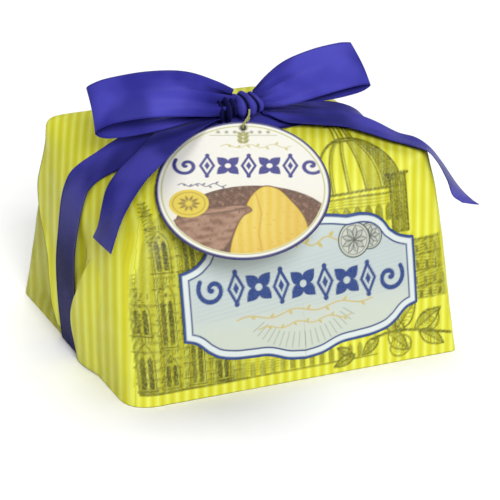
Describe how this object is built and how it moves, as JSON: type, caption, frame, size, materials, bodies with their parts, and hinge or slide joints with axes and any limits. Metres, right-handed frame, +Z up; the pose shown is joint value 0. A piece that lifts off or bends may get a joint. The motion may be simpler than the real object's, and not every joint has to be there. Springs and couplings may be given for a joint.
{
  "type": "gift-wrapped panettone pack",
  "caption": "Panettone gift pack wrapped in printed paper with folded ends, tied with a wide satin ribbon and bow, with a round hang tag and a shaped front label.",
  "frame": {"origin": "on the resting plane, under the middle of the whole pack's bounding box", "axes": "+X along the pack's long side, towards the end on the viewer's right when the label faces them; -Y towards the label; +Z up"},
  "size_m": [0.2996, 0.2764, 0.2223],
  "materials": {
    "printed_paper": "satin",
    "label_paper": "satin",
    "tag_card": "satin",
    "tag_cord": "matte",
    "satin_ribbon": "satin",
    "grey_board": "matte",
    "case_paper": "matte",
    "baked_crust": "matte",
    "clear_film": "gloss",
    "tie_wire": "satin"
  },
  "bodies": {
    "root": {"wrapping_paper": "printed_paper", "left_end_flap": "printed_paper", "right_end_flap": "printed_paper", "underside_seal": "label_paper", "front_label": "label_paper", "hang_tag": "tag_card", "tag_cord": "tag_cord", "ribbon_band": "satin_ribbon", "bow_knot": "satin_ribbon", "bow_loop_left": "satin_ribbon", "bow_loop_right": "satin_ribbon", "ribbon_tail_front": "satin_ribbon", "ribbon_tail_side": "satin_ribbon", "card_tray": "grey_board", "baking_case": "case_paper", "panettone_loaf": "baked_crust", "clear_bag": "clear_film", "bag_tie": "tie_wire"}
  },
  "joints": []
}
